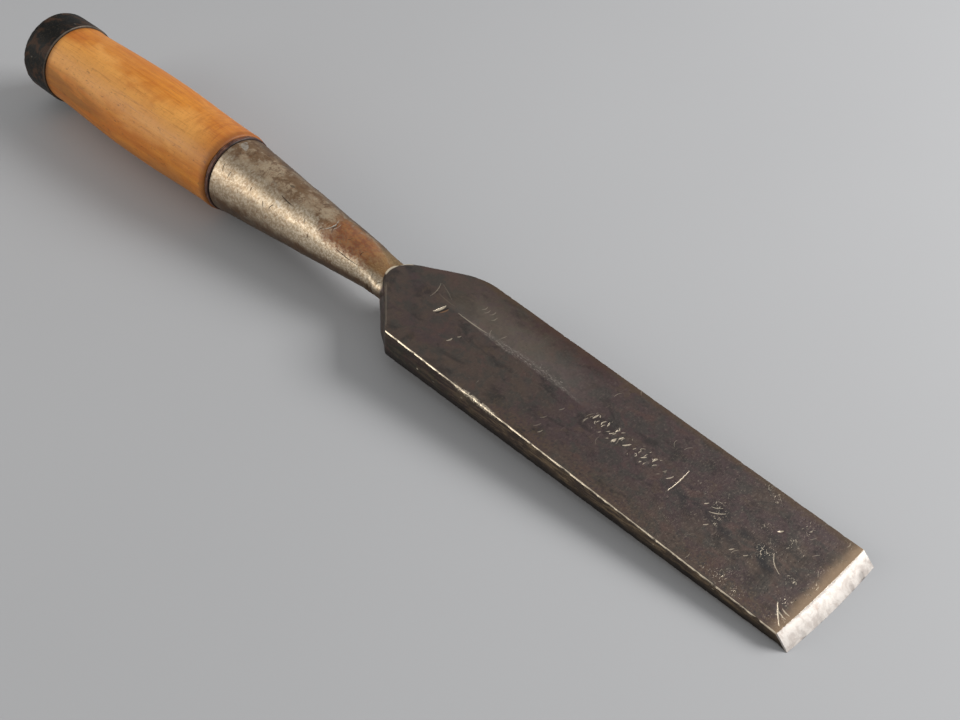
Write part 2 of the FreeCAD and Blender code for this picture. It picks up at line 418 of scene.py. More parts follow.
def socket_shell():
    """Neck, cone, lip and tapered bore as one turned surface."""
    taper = (MOUTH_RADIUS - NECK_RADIUS) / -NECK
    lip = 0.55
    outside = in_order(
        run((NECK - 18, NECK_RADIUS), (NECK, NECK_RADIUS), 0.55),
        run((NECK, NECK_RADIUS), (-lip, MOUTH_RADIUS - lip * taper), 0.95),
        bend((-lip, MOUTH_RADIUS - lip * (1 + taper)), lip, 90, 0, 5),
        run((0, MOUTH_RADIUS - lip - 0.3), (0, BORE_MOUTH + 0.4), 0.6),
        [(0, BORE_MOUTH + 0.3), (-0.35, BORE_MOUTH)],
    )
    inside = in_order(
        run((-1.2, BORE_MOUTH - 0.08), (-BORE_DEPTH, BORE_END), 3.6),
        [(-BORE_DEPTH, BORE_END), (-BORE_DEPTH - BORE_POINT * 0.6, BORE_END * 0.4),
         (-BORE_DEPTH - BORE_POINT * 0.92, 0.4)],
    )
    stations = np.concatenate([outside[0], inside[0]])
    radii = np.concatenate([outside[1], inside[1]])
    outer = (np.arange(len(stations)) < len(outside[0]) - 8)[:, None]
    rings = turned_rings(stations, radii, 150, lambda *place: outer * socket_wobble(*place))
    # both frames are in mm here, so only the offset between them comes back from metres
    matrix = np.array(HANDLE_TO_BLADE)
    placed = rings @ matrix[:3, :3].T + matrix[:3, 3] / MM
    x, z = placed[:, :, 0], placed[:, :, 2]
    axis_height = placed.mean(axis=1)[:, 2:3]
    arched = axis_height + (z - axis_height) * np.where(z > axis_height, neck_squeeze(x), 1)
    arched = np.where(x < 226, np.maximum(arched, 0.0), arched)
    placed[:, :, 2] = np.where(outer, arched, z)
    return loft("socket_shell", to_frame(placed, BLADE_FRAME))


def blade():
    """Blade and socket joined into one forging."""
    slab, shell = blade_slab(), socket_shell()
    union = slab.modifiers.new("join", "BOOLEAN")
    union.operation, union.object, union.solver = "UNION", shell, "EXACT"
    graph = bpy.context.evaluated_depsgraph_get()
    mesh = bpy.data.meshes.new_from_object(slab.evaluated_get(graph))
    for spare in (slab, shell):
        bpy.data.objects.remove(spare)
    piece = add_object("chisel_blade", mesh)
    shade(piece, 30)
    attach(piece, "blade")
    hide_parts("blade")
    return piece


# -------- handle pieces

def tenon_radius(station):
    return BORE_MOUTH - TENON_CLEARANCE + (BORE_MOUTH - BORE_END) / BORE_DEPTH * min(station, 0)


def grip_radius(station):
    """Bellied grip, through the same radii as the CAD outline."""
    places = [3.9, 8.0, 35.0, 70.0, 102.0, 125.2]
    radii = [18.5, 18.75, 19.4, 20.35, 19.5, 18.9]
    fit = np.polynomial.Polynomial.fit(places, radii, 4)
    return fit(np.asarray(station, float))


def turn_from(angle, start):
    """Angle counted from start, between -pi and pi."""
    return (angle - start + math.pi) % (2 * math.pi) - math.pi


def handle_wobble(points, angle, r):
    """Slight hand-turned unevenness and dents on the grip."""
    x = points[..., 0]
    grip = smooth(x, 3.5, 8) * (1 - smooth(x, 121, 124.5))
    uneven = bump_noise(points * np.array([0.35, 1, 1]), 13.0, 21) * 0.1 - 0.12
    dents = np.zeros_like(x)
    random = np.random.default_rng(3)
    for _ in range(26):
        place, around = random.uniform(8, 120), random.uniform(0, 2 * math.pi)
        long, wide = random.uniform(0.8, 3.0), random.uniform(0.5, 1.3)
        side = turn_from(angle, around)
        distance = np.hypot((x - place) / long, side * r / wide)
        dents = dents + random.uniform(0.05, 0.16) * np.exp(-distance ** 2)
    return grip * (uneven - dents)


def handle():
    """Turned hardwood with its tenon, grip, hoop seat and a butt rounded by the mallet."""
    soft = 3.0
    grip_places = np.arange(4.4, HOOP_START - 0.3, 0.62)
    grip = np.stack([grip_places, grip_radius(grip_places)], 1)
    outline = in_order(
        [(-TENON_LENGTH, 0.5), (-TENON_LENGTH, tenon_radius(-TENON_LENGTH) - 0.5)],
        run((-TENON_LENGTH + 0.4, tenon_radius(-TENON_LENGTH)), (0, tenon_radius(0)), 1.2),
        run((0, tenon_radius(0)), (WASHER_END, tenon_radius(0)), 1.2),
        run((WASHER_END, tenon_radius(0)), (WASHER_END, 17.5), 0.8),
        [(WASHER_END + 0.05, 17.75), (WASHER_END + 0.35, 18.1), (WASHER_END + 0.9, 18.4)],
        grip,
        [(HOOP_START - 0.25, 18.85), (HOOP_START, 18.6)],
        run((HOOP_START, 18.3), (HOOP_START, HOOP_BORE), 0.3),
        run((HOOP_START, HOOP_BORE), (BUTT - soft, HOOP_BORE), 2.0),
        bend((BUTT - soft, HOOP_BORE - soft), soft, 90, 6, 10),
        [(BUTT + BUTT_DOME * (1 - (r / (HOOP_BORE - soft)) ** 2), r)
         for r in np.linspace(HOOP_BORE - soft, 0.5, 26)],
    )
    rings = turned_rings(*outline, 170, handle_wobble)
    split_butt(rings)
    piece = loft("wooden_handle", to_frame(rings, HANDLE_FRAME))
    shade(piece, 40)
    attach(piece, "handle")
    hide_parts("handle")
    return piece


# drying cracks in the butt: angle, inner and outer radius, depth
BUTT_CRACKS = [
    (0.4, 3, 13, 0.7), (1.9, 5, 14, 0.5), (3.3, 2, 9, 0.6), (4.4, 6, 14.5, 0.5), (5.5, 4, 11, 0.4),
]


def split_butt(rings):
    """Mallet marks and short drying cracks that run out from the middle of the butt."""
    x, y, z = rings[:, :, 0], rings[:, :, 1], rings[:, :, 2]
    r, angle = np.hypot(y, z), np.arctan2(y, z)
    on_butt = smooth(x, BUTT - 2.2, BUTT - 0.2)
    depth = np.zeros_like(x)
    for around, inner, outer, deep in BUTT_CRACKS:
        side = turn_from(angle, around)
        ends = smooth(r, inner, inner + 2) * (1 - smooth(r, outer - 2, outer))
        depth = depth + deep * ends * np.exp(-((side * r + 0.5 * np.sin(r * 0.9)) / 0.35) ** 2)
    dimples = bump_noise(rings, 4.5, 31) * 0.14 + bump_noise(rings, 1.3, 33) * 0.05
    rings[:, :, 0] -= on_butt * (depth + np.abs(dimples))


def ring_piece(name, outline, around, wobble, node):
    """Closed ring turned from a closed outline of (station, radius)."""
    rings = turned_rings(*outline, around, wobble)
    piece = loft(name, to_frame(rings, HANDLE_FRAME), join_ends=True)
    shade(piece, 40)
    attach(piece, "handle")
    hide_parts(node)
    return piece


def washer():
    """Leather washer squeezed between socket and shoulder, with a worn crease round it."""
    soft = 0.85
    inner = tenon_radius(0)
    middle = (WASHER_START + WASHER_END) / 2
    outline = in_order(
        run((WASHER_START, inner), (WASHER_START, WASHER_RADIUS - soft), 0.9),
        bend((WASHER_START + soft, WASHER_RADIUS - soft), soft, 180, 100, 7),
        [(middle - 0.22, WASHER_RADIUS), (middle, WASHER_RADIUS - 0.14), (middle + 0.22, WASHER_RADIUS)],
        bend((WASHER_END - soft, WASHER_RADIUS - soft), soft, 80, 0, 7),
        run((WASHER_END, WASHER_RADIUS - soft), (WASHER_END, inner), 0.9),
        run((WASHER_END, inner), (WASHER_START, inner), 0.8),
    )

    def wobble(points, _, r):
        creased = np.abs(bump_noise(points, 5.0, 41)) * 0.3 + np.abs(bump_noise(points, 1.2, 42)) * 0.1
        return -smooth(r, 16.4, 17.4) * creased

    return ring_piece("leather_washer", outline, 220, wobble, "socket_washer")


def hoop():
    """Iron hoop with a bright worn rim, dents of the mallet and a rolled outer edge."""
    chamfer, soft = 0.45, 1.3
    outline = in_order(
        run((HOOP_START, HOOP_BORE), (HOOP_START, HOOP_RADIUS - chamfer), 0.5),
        bend((HOOP_START + chamfer, HOOP_RADIUS - chamfer), chamfer, 180, 100, 5),
        run((HOOP_START + chamfer, HOOP_RADIUS), (HOOP_END - soft, HOOP_RADIUS), 0.5),
        bend((HOOP_END - soft, HOOP_RADIUS - soft), soft, 88, 5, 9),
        run((HOOP_END, HOOP_RADIUS - soft), (HOOP_END, HOOP_BORE), 0.4),
        run((HOOP_END, HOOP_BORE), (HOOP_START, HOOP_BORE), 2.5),
    )

    def wobble(points, _, r):
        outer = smooth(r, HOOP_BORE + 0.3, HOOP_RADIUS - 0.6)
        hammered = np.abs(bump_noise(points, 6.0, 51)) * 0.22 + np.abs(bump_noise(points, 1.5, 52)) * 0.06
        towards_butt = smooth(points[..., 0], HOOP_END - 5, HOOP_END)
        return -outer * hammered * (0.6 + 0.9 * towards_butt)

    return ring_piece("iron_hoop", outline, 240, wobble, "hoop")


# -------- materials

def linear(colour):
    """Linear colour from the usual 0 to 255 values."""
    shares = [c / 255 for c in colour]
    return [c / 12.92 if c < 0.0404 else ((c + 0.055) / 1.055) ** 2.4 for c in shares] + [1]


class Value:
    """A node output that can be reckoned with."""

    def __init__(self, shader, socket):
        self.shader, self.socket = shader, socket

    def __add__(self, other):
        return self.shader.math("ADD", self, other)

    def __sub__(self, other):
        return self.shader.math("SUBTRACT", self, other)

    def __rsub__(self, other):
        return self.shader.math("SUBTRACT", other, self)

    def __mul__(self, other):
        return self.shader.math("MULTIPLY", self, other)

    def __truediv__(self, other):
        return self.shader.math("DIVIDE", self, other)

    __radd__, __rmul__ = __add__, __mul__

    def step(self, low, high):
        """0 below low and 1 above high, or the other way round when low is above high."""
        ends = (0, 1) if low < high else (1, 0)
        node = self.shader.node("MapRange", self, min(low, high), max(low, high), *ends,
                                interpolation_type="SMOOTHSTEP")
        return Value(self.shader, node.outputs[0])

    def band(self, middle, half, soft):
        """1 within half of middle, falling to 0 over soft."""
        return self.shader.math("ABSOLUTE", self - middle).step(half + soft, half)


class Shader:
    """One material's node tree, written as expressions.  colour is the colour so far."""

    def __init__(self, name):
        self.material = bpy.data.materials.new(name)
        self.material.use_nodes = True
        self.tree = self.material.node_tree
        self.tree.nodes.clear()
        self.colour = None

    def put(self, value, socket):
        if isinstance(value, Value):
            self.tree.links.new(value.socket, socket)
        else:
            socket.default_value = linear(value) if socket.type == "RGBA" else value

    def node(self, kind, *values, named=(), **settings):
        """New node with those settings and with its inputs filled, in order or by name."""
        node = self.tree.nodes.new("ShaderNode" + kind)
        for name, setting in settings.items():
            setattr(node, name, setting)
        for value, socket in zip(values, node.inputs):
            self.put(value, socket)
        for name, value in dict(named).items():
            self.put(value, node.inputs[name])
        return node

    def math(self, operation, *values):
        return Value(self, self.node("Math", *values, operation=operation).outputs[0])

    def length(self, vector):
        return Value(self, self.node("VectorMath", vector, operation="LENGTH").outputs["Value"])

    def mapped(self, place, location, scale, rotation=(0, 0, 0), kind="POINT"):
        node = self.node("Mapping", place, location, rotation, scale, vector_type=kind)
        return Value(self, node.outputs[0])

    def object_point(self):
        return Value(self, self.node("TexCoord").outputs["Object"])

    def frame_point(self, matrix):
        """Place in mm in a frame, as a vector: it stays put when the piece moves."""
        return self.mapped(self.object_point(), matrix.to_translation(), (MM, MM, MM), matrix.to_euler(),
                           "TEXTURE")

    def handle_point(self):
        """Place in the handle's frame, with its station, radius and angle."""
        place = self.frame_point(HANDLE_FRAME)
        x, y, z = self.parts(place)
        return place, x, self.math("SQRT", y * y + z * z), self.math("ARCTAN2", y, z)

    def parts(self, vector):
        return [Value(self, output) for output in self.node("SeparateXYZ", vector).outputs]

    def vector(self, x, y, z=0):
        return Value(self, self.node("CombineXYZ", x, y, z).outputs[0])

    def noise(self, place, size, detail=3, rough=0.5, warp=0, stretch=(1, 1, 1), shift=0):
        """Noise from 0 to 1 with features of about that size in mm, longer along stretched axes."""
        here = self.mapped(place, (shift, shift * 1.7, -shift), [1 / (size * s) for s in stretch])
        named = {"Scale": 1, "Detail": detail, "Roughness": rough, "Distortion": warp}
        return Value(self, self.node("TexNoise", here, named=named).outputs[0])

    def cells(self, place, size, stretch, shift):
        """Scattered cells: distance to each one's middle, way from it, and three random shares."""
        here = self.mapped(place, (shift, -shift, shift * 0.6), [1 / (size * s) for s in stretch])
        node = self.node("TexVoronoi", here, named={"Scale": 1})
        distance, random, middle = (Value(self, output) for output in list(node.outputs)[:3])
        away = Value(self, self.node("VectorMath", here, middle, operation="SUBTRACT").outputs[0])
        return distance, away, self.parts(random)

    def specks(self, place, size, keep, radius, stretch=(1, 1, 1), shift=0):
        """Scattered spots: a share keep of the cells of that size holds one of that radius."""
        distance, _, shares = self.cells(place, size, stretch, shift)
        return distance.step(radius / size, radius / size * 0.4) * shares[0].step(1 - keep, 1.02 - keep)

    def dings(self, x, y, size, keep, width, shift):
        """Scattered bowed dings that narrow to nothing at both ends, turned at random."""
        _, away, shares = self.cells(self.vector(x, y), size, (1, 1, 1), shift)
        turn = {"Vector": away, "Angle": (shares[1] - 0.5) * 1.3}
        turned = self.node("VectorRotate", named=turn, rotation_type="Z_AXIS").outputs[0]
        across, along, _ = self.parts(Value(self, turned))
        share = along / (shares[2] * 0.16 + 0.26)
        narrow = self.most(1 - share * share, 0)
        off = self.math("ABSOLUTE", across - narrow * (shares[2] - 0.35) * 0.25)
        drawn = (off - narrow * (width / size / 2)).step(0.13 / size, 0) * narrow.step(0, 0.25)
        return drawn * shares[0].step(1 - keep, 1.02 - keep)

    def mark(self, x, y, start, end, bow, width):
        """One bowed scratch or ding on a face, in mm."""
        share, side = mark_place(x, y, start, end)
        narrow = self.most(1 - share * share, 0)
        off = self.math("ABSOLUTE", side - narrow * bow) - narrow * (width / 2)
        return off.step(0.16, 0) * narrow.step(0, 0.15)

    def mix(self, share, first, second):
        """Mixed colour."""
        node = self.node("Mix", share, data_type="RGBA")
        self.put(first, node.inputs[6])
        self.put(second, node.inputs[7])
        return Value(self, node.outputs[2])

    def between(self, share, first, second):
        """Mixed number."""
        node = self.node("Mix", share)
        self.put(first, node.inputs[2])
        self.put(second, node.inputs[3])
        return Value(self, node.outputs[0])

    def coat(self, share, colour):
        """Lays a coat over the colour so far."""
        self.colour = self.mix(share, self.colour, colour)

    def most(self, *values):
        result = values[0]
        for value in values[1:]:
            result = self.math("MAXIMUM", result, value)
        return result

    def finish(self, roughness, metallic, height, depth, specular=0.5):
        """Principled surface with a bump of height times depth in mm."""
        bump = self.node("Bump", named={"Strength": 1, "Distance": depth * MM, "Height": height})
        surface = self.node("BsdfPrincipled", named={
            "Base Color": self.colour, "Roughness": roughness, "Metallic": metallic,
            "Specular IOR Level": specular, "Normal": Value(self, bump.outputs[0])})
        self.node("OutputMaterial", Value(self, surface.outputs[0]))
        return self.material


TOP_SLOPE = (HEEL_THICKNESS - BEVEL_THICKNESS) / (HEEL_STATION - BEVEL_LENGTH)
LEFT_SLOPE = (HEEL_HALF - SHOULDER_LEFT["end"]) / (BLADE_END - SHOULDER_LEFT["corner"])
LEFT_SQUARE = 1 / math.hypot(1, LEFT_SLOPE)


def patina(s, place, x, y):
    """Blade colour under its bright wear: brown and plum clouds, dark smudges, rust by the edge."""
    cloud = s.noise(place, 24, 4, 0.55, 0.8, (1.5, 1, 1))
    mottle = s.noise(place, 6, 5, 0.6, 0.4, shift=3)
    smudge = s.noise(place, 9, 5, 0.6, 0.7, (1.4, 1, 1), 5)
    grain = s.noise(place, 1.1, 4, 0.65, 0.4, shift=7)
    fibre = s.noise(place, 0.55, 3, 0.6, 0.3, (1, 4.5, 1), 9)
    coarse = x.step(190, 60) * 0.65 + 0.35
    s.colour = s.mix(cloud.step(0.4, 0.58), (77, 64, 56), (72, 57, 56))
    s.coat(mottle.step(0.46, 0.62) * 0.7, (60, 57, 52))
    s.coat(smudge.step(0.52, 0.66) * 0.6, (40, 35, 32))
    s.coat(smudge.step(0.45, 0.32) * 0.6, (84, 62, 56))
    s.coat(mottle.step(0.42, 0.3) * 0.4, (90, 74, 58))
    s.coat(grain.step(0.53, 0.74) * coarse * 0.5, (104, 91, 80))
    s.coat(grain.step(0.46, 0.28) * coarse * 0.6, (38, 32, 29))
    s.coat(fibre.step(0.56, 0.74) * coarse * 0.4, (110, 97, 86))

    # dark stains along the middle towards the tip
    along_tip = x.step(8, 16) * x.step(76, 62)
    stain = (y + (cloud - 0.5) * 10).band(2.5, 2, 4) * along_tip * smudge.step(0.4, 0.56)
    s.coat(stain * 0.75, (34, 33, 34))

    # rust: a ragged rim on the right, gold behind the bevel and on the left near the heel
    ragged = (mottle - 0.5) * 7 + (grain - 0.5) * 3
    rim = (y + ragged * 0.5).step(-21.5, -24.8)
    s.coat(rim * 0.6, (84, 64, 42))
    deep = (x + (cloud - 0.5) * 40).band(140, 14, 12) * (y + ragged).step(-15, -23)
    s.coat(deep * 0.45, (66, 38, 31))
    corner = (x + ragged + (y + 25) * 0.22).step(17, 6)
    s.coat(corner * 0.5, (104, 84, 60))
    seam = (x + ragged * 0.35).step(10.5, BEVEL_LENGTH)
    s.coat(seam * 0.7, (158, 132, 104))
    left_gold = (y + ragged).step(14, 23) * cloud.step(0.36, 0.56) * grain.step(0.38, 0.56)
    s.coat(left_gold * 0.36, (92, 72, 46))
    right_gold = (x + (cloud - 0.5) * 20).band(166, 14, 16) * (y + ragged).band(-13, 5, 7)
    s.coat(right_gold * mottle.step(0.36, 0.58) * 0.22, (104, 88, 66))
    return cloud, mottle, grain, fibre


def rubbed_streak_and_sheen(s, place, x, y, cloud):
    """A streak down the middle where the patina is worn through, with a painted sheen beside it and
    painted glints along it.
    """
    wander = (s.noise(place, 24, 3, 0.5, shift=12) - 0.5) * 5
    lint = s.noise(place, 0.7, 3, 0.7, 0.5, (1.6, 0.8, 1), 61)
    thick = x.band(146, 10, 16)
    streak = (s.math("ABSOLUTE", y + wander + 3.4) - thick * 0.9).step(1.1, 0)
    streak = streak * x.step(112, 126) * x.step(184, 172)
    broken = lint.step(0.44, 0.66)
    # painted sheen: a soft lighter patch right of the streak, standing in for light reflected off the top
    # face
    painted_sheen = (y + wander * 1.4).step(-2.4, -4.6) * y.step(-21, -9) * x.step(100, 140) * x.step(194, 172)
    # painted glints: small bright specks along the streak
    painted_glints = lint.step(0.6, 0.7) * (y + wander).band(-4, 1.2, 2.4) * x.band(143, 12, 14)
    streak = streak * (broken * 0.36 + 0.08)
    return s.math("MINIMUM", streak + painted_sheen * (cloud * 0.26 + 0.03) + painted_glints * 0.55, 1)


# Dings scattered along the middle: size of their cells, share kept, width, shift and brightness.
MIDDLE_DINGS = ((6.2, 0.7, 0.5, 3, 1), (4, 0.55, 0.36, 8, 0.8), (2.8, 0.5, 0.22, 14, 0.5))


def bright_marks(s, x, y, grain, mottle):
    """Fresh dings and scratches in the top face, bright as bare steel and in part painted highlight off
    their walls.
    """
    ragged_x, ragged_y = x + (grain - 0.5) * 0.5, y + (grain - 0.5) * 0.3
    drawn = [s.mark(ragged_x, ragged_y, start, end, bow, width) * bright
             for start, end, bow, width, _, bright in drawn_marks()]
    middle = x.step(72, 78) * x.step(112, 106) * (y + (mottle - 0.5) * 3).band(-0.6, 2.6, 1.6)
    for size, keep, width, shift, bright in MIDDLE_DINGS:
        drawn.append(s.dings(ragged_x, ragged_y, size, keep, width, shift) * middle * bright)
    beside = x.band(CHIPPED, 8, 4) * (y + (mottle - 0.5) * 2.5).step(23.9, 24.9)
    chipped = grain.step(0.42, 0.54) * beside
    lint = s.noise(s.vector(x, y), 0.55, 2, 0.6, 0.8, (1, 1.8, 1), 43)
    clusters = s.noise(s.vector(x, y), 9, 2, 0.5, shift=33).step(0.56, 0.68) * x.step(72, 50) * 0.6
    for spot_x, spot_y, reach in SPECK_CLUSTERS:
        gap = s.length(s.vector(x - spot_x, y - spot_y))
        clusters = s.most(clusters, (gap + (mottle - 0.5) * 4).step(reach + 1.5, reach * 0.3))
    fine = lint.step(0.58, 0.68) * (clusters * 0.6 + x.step(95, 60) * 0.07)
    rare = s.dings(ragged_x, ragged_y, 5, 0.04, 0.16, 53) * 0.2
    return s.most(*drawn, chipped, fine, rare)


def shaded_ding(s, x, y):
    """The deep ding by the heel: painted shade in its hollow below its bright lip, and rust below that."""
    # painted shade in the ding's hollow
    s.coat(s.mark(x, y, (187.3, 4), (185.9, -2.2), 0.35, 1.3) * 0.85, (36, 28, 22))
    s.coat(s.mark(x, y, (186.3, 2.6), (185.2, -1.6), 0.3, 0.6) * 0.6, (142, 104, 72))


def socket_marks(s, u, angle, patches, blots):
    """A few scratches and pits in the socket, and its pale spots."""
    side = angle * 14
    rough_u, rough_side = u + (blots - 0.5) * 3, side + (patches - 0.5) * 4
    nicks = s.most(
        s.mark(u, side, (-37, 6.3), (-45.5, 7.4), 0.3, 0.45),
        s.mark(u, side, (-74, 12.8), (-87, 14), 0.4, 0.35),
        s.dings(u, side, 4.5, 0.1, 0.22, 63),
        s.mark(rough_u, rough_side, (-65.4, 6.4), (-66.4, 0.6), 0.9, 1.1) * 0.9,
        s.mark(u, side, (-35.8, 0.2), (-38.4, -0.4), 0.2, 1.1) * 0.8,
    )
    pale = s.most(
        s.mark(rough_u, rough_side, (-1.5, -3.4), (-7, 0.4), 0.2, 2.2) * 0.6,
        s.mark(rough_u, rough_side, (-36.6, 9.4), (-41.4, 11.2), 0.1, 1.7) * 0.55,
        s.mark(rough_u, rough_side, (-63.8, 8), (-65.6, -1), 1.6, 0.45) * 0.85,
        s.mark(rough_u, rough_side, (-67, 6), (-68, 0), 0.8, 0.3) * 0.6,
    )
    return nicks, pale


def socket_colours(s):
    """Socket: worn warm metal on its left with a painted highlight band, olive and brown on top, painted
    shade towards the underside, orange rust near the neck.
    """
    _, u, radius, angle = s.handle_point()
    around = s.vector(u, angle * 12, radius * 0.3)
    patches = s.noise(around, 8, 5, 0.6, 0.2, (1.4, 1, 1), 43)
    blots = s.noise(around, 3, 5, 0.66, 0.2, (1.1, 1, 1), 45)
    speckle = s.noise(around, 1, 4, 0.66, 0.2, shift=49)
    cross = s.noise(around, 0.9, 4, 0.65, 0.2, (0.9, 6, 1), 41)

    s.colour = s.mix(patches.step(0.4, 0.6), (116, 90, 64), (166, 146, 120))
    s.coat(blots.step(0.52, 0.62) * 0.75, (94, 66, 42))
    s.coat(blots.step(0.46, 0.34) * 0.55, (176, 162, 140))
    s.coat(speckle.step(0.56, 0.7) * 0.55, (66, 50, 36))

    # worn light metal on the left, broken up by what is left of the patina; the band round the left side
    # is in part painted highlight, where the left light catches the socket
    highlight_band = angle.band(0.98, 0.3, 0.62)
    near_neck = u.step(-34, -60)
    worn = highlight_band * 1.15 + (patches - 0.5) * 1.9 + (blots - 0.5) * 1.3 + (speckle - 0.5) * 0.25
    worn = (worn + (cross - 0.5) * (near_neck * 1.4 + 0.3) + near_neck * 0.08).step(0.3, 0.95)
    light = s.mix(speckle.step(0.4, 0.62), (176, 156, 130), (218, 203, 180))
    s.coat(worn * (near_neck * 0.25 + 0.72), light)
    freckle = s.noise(around, 1.5, 5, 0.75, 0.4, (1.2, 1, 1), 47)
    s.coat(freckle.step(0.53, 0.66) * 0.5, (128, 88, 56))

    # painted shade towards the underside; dark brown too towards the right-hand silhouette
    under = s.most((angle + (blots - 0.5) * 0.5).step(1.4, 1.85),
                   (angle + (blots - 0.5) * 0.4).step(-0.35, -0.8))
    s.coat(under * 0.8, s.mix(blots.step(0.4, 0.6), (58, 42, 28), (88, 64, 42)))

    # orange rust on top near the neck, gold round it
    zone = (u + (patches - 0.5) * 14).step(-60, -72) * (angle + (blots - 0.5) * 0.7).band(0.22, 0.42, 0.42)
    orange = s.mix(blots.step(0.4, 0.6), (128, 68, 38), (158, 104, 58))
    s.coat(zone * 0.9, s.mix(speckle.step(0.45, 0.6) * 0.5, orange, (122, 92, 58)))
    tail = u.step(-84, -94) * angle.step(1.2, 0.7)
    s.coat(tail * 0.7, s.mix(speckle.step(0.4, 0.6), (104, 80, 46), (134, 108, 68)))

    nicks, pale = socket_marks(s, u, angle, patches, blots)
    s.coat(nicks * 0.75, (48, 38, 30))
    s.coat(pale * speckle.step(0.3, 0.55), (205, 198, 186))
    inside = (radius - (u - NECK) * BORE_SLOPE).step(8.2, 7.4) * u.step(-84, -80)
    s.coat(inside, (62, 48, 36))
    bare = s.most(worn * (1 - zone * 0.7), pale) * (1 - inside) * (1 - under * 0.5)
    height = (cross - 0.5) * (near_neck * 0.8 + 0.2) + blots * 1.2 + speckle * 0.5 - nicks * 1.2
    return bare, zone, height


def bare_and_highlit_edges(s, place, coords, top_gap, from_nose, ragged, grain):
    """Where the patina has gone: arrises, shoulder, rim of the round rear end, specks and chips; the
    bright lines on the left arris, the shoulder and the rim are in part painted highlight.
    """
    x, y, z = coords
    left_gap, right_gap = HEEL_HALF - y, y + HEEL_HALF
    chips = (x + ragged * 4).band(CHIPPED, 8, 4)
    # left arris: worn bare, and in part a painted highlight along its edge
    arris = (top_gap + left_gap + ragged * (0.2 + chips * 0.8)).step(0.66, 0.4) * x.step(194, 192.5)
    # a faint bright line on the left shoulder, in part painted highlight
    shoulder_gap = (HEEL_HALF - 0.6 - LEFT_SLOPE * (x - SHOULDER_LEFT["corner"]) - y) * LEFT_SQUARE
    shoulder = (top_gap + shoulder_gap + ragged * 0.4).step(0.6, 0.2) * x.step(194, 196)
    shoulder = shoulder * x.step(214, 211) * 0.09
    far_arris = (top_gap + right_gap + ragged * 1.6).step(0.5, 0.15) * x.step(190, 180) * 0.3
    # rim of the round rear end: worn bright, in part painted highlight where it catches the light
    rim = (from_nose + ragged * 0.3 + y.step(-5, -6) * 0.4).step(NOSE_ROUND - 0.5, NOSE_ROUND - 0.3)
    rim = rim * top_gap.step(1.2, 0.7) * x.step(213, 214)
    rim = rim * s.most(y.band(-0.9, 3, 1.2), y.band(-7.4, 1.5, 0.9))
    specks = s.specks(place, 2.6, 0.14, 0.34, (2, 1, 1), 31) * top_gap.step(0.9, 1.3) * 0.5
    side_chips = grain.step(0.46, 0.58) * chips * top_gap.step(2.4, 0.6) * top_gap.step(0.3, 0.6)
    dots = s.specks(s.vector(x, z), 3.4, 0.5, 0.5, (1.2, 1, 1), 36) * x.band(160, 14, 8)
    dots = dots * top_gap.step(0.5, 0.9) * x.step(222, 216)
    return s.most(arris, shoulder, far_arris, rim, specks, side_chips * 0.7, dots * 0.8)


def ground_steel(s, place, bevel):
    """Colour of bare steel, warmer on the polished bevel."""
    clean = s.noise(place, 3.2, 5, 0.6, 0.6, shift=15).step(0.38, 0.62)
    steel = s.mix(bevel, (236, 220, 194), s.mix(clean, (178, 169, 162), (201, 194, 187)))
    freckles = s.noise(place, 1.3, 3, 0.6, shift=33).step(0.58, 0.72)
    return s.mix(freckles * bevel * 0.35, steel, (168, 144, 128))


def side_walls(s, place, x, z, on_side, cloud, mottle):
    """Side walls: dark and scuffed near the heel, browner further down, with a painted golden sheen in the
    streaks and painted shade darkest at the foot.
    """
    side_noise = s.noise(place, 1.8, 5, 0.72, 0.5, (5, 1, 0.7), 35)
    scuffs_and_sheen = side_noise.step(0.46, 0.62) * on_side * z.step(1, 4)
    far = (x + (cloud - 0.5) * 40).step(176, 112)
    near_colour = s.mix(mottle.step(0.42, 0.58), (58, 40, 38), (48, 44, 36))
    far_colour = s.mix(mottle.step(0.4, 0.6), (62, 50, 42), (86, 70, 54))
    s.coat(on_side * 0.8, s.mix(far, near_colour, far_colour))
    # scuff streaks, lighter further down the side, that also stand in for a golden sheen
    s.coat(scuffs_and_sheen * (far * 0.6 + 0.14), (146, 124, 96))
    # painted shade: darkest at the foot, where the side turns under towards the table
    s.coat(on_side * (z + (mottle - 0.5) * 3).step(5.4, 1.2) * 0.85, (22, 18, 15))


def flat_back(s, x, z, cloud, mottle, fibre):
    """Flat back, stained further up.  Returns where it is lapped, near the edge."""
    back = z.step(0.08, 0.02) * x.step(219, 214)
    stained = s.mix(mottle.step(0.35, 0.65), (74, 62, 52), (112, 98, 84))
    stained = s.mix(cloud.step(0.42, 0.6) * 0.5, stained, (64, 46, 38))
    s.coat(back, s.mix(fibre * 0.4, stained, (136, 124, 110)))
    return back * (x + (cloud - 0.5) * 60 + (mottle - 0.5) * 20).step(90, 8)


